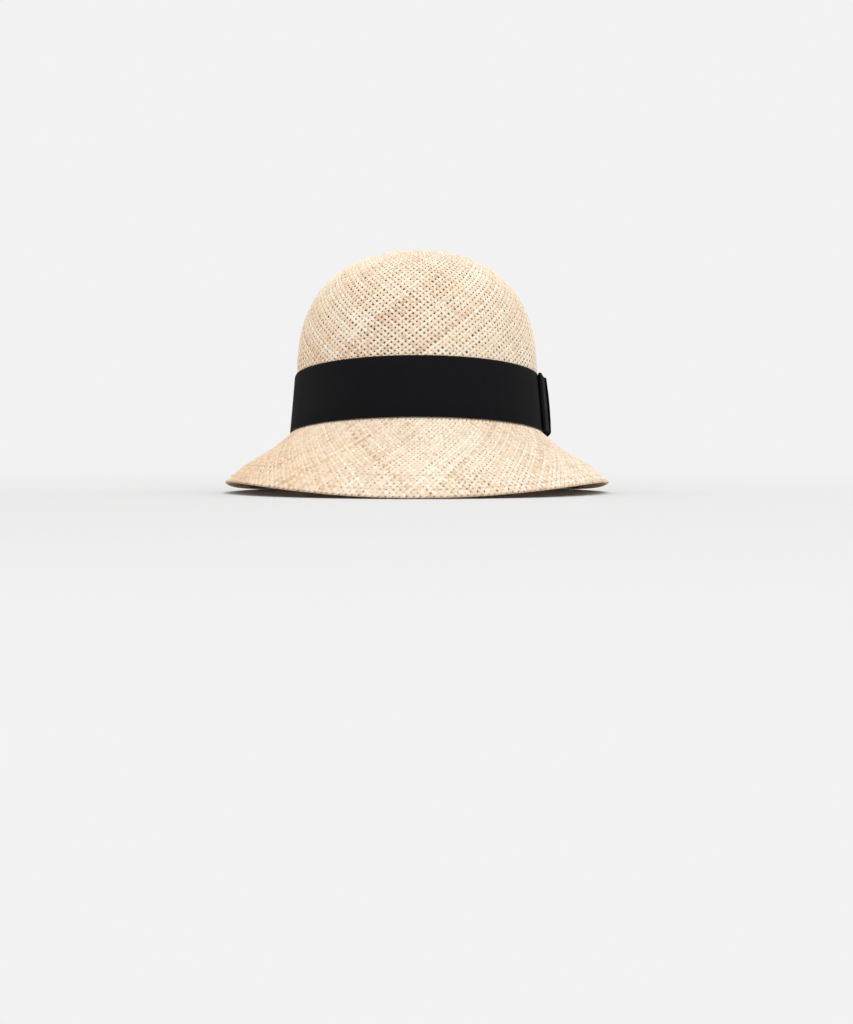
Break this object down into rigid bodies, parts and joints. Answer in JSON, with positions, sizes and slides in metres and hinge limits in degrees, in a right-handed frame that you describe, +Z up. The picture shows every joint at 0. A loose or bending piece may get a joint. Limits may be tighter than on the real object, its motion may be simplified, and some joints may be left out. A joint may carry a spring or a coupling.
{
  "type": "cloche hat",
  "caption": "Woven straw cloche hat with a round crown, a down-turned brim, a black ribbon band and a flat side bow, resting on its brim.",
  "frame": {"origin": "bottom centre of the hat's box, on the surface that the brim's edge rests on", "axes": "+Z up; the front of the hat faces -Y; the bow, on the wearer's left, is at +X"},
  "size_m": [0.2576, 0.2778, 0.1613],
  "materials": {
    "crown_straw": "open plain weave of pale natural straw, satin",
    "brim_straw": "close plain weave of pale natural straw, satin",
    "ribbon": "black ribbed grosgrain, matt"
  },
  "bodies": {
    "root": {"crown": "crown_straw", "brim": "brim_straw", "hatband": "ribbon", "bow_loops": "ribbon", "bow_knot": "ribbon"}
  },
  "joints": []
}
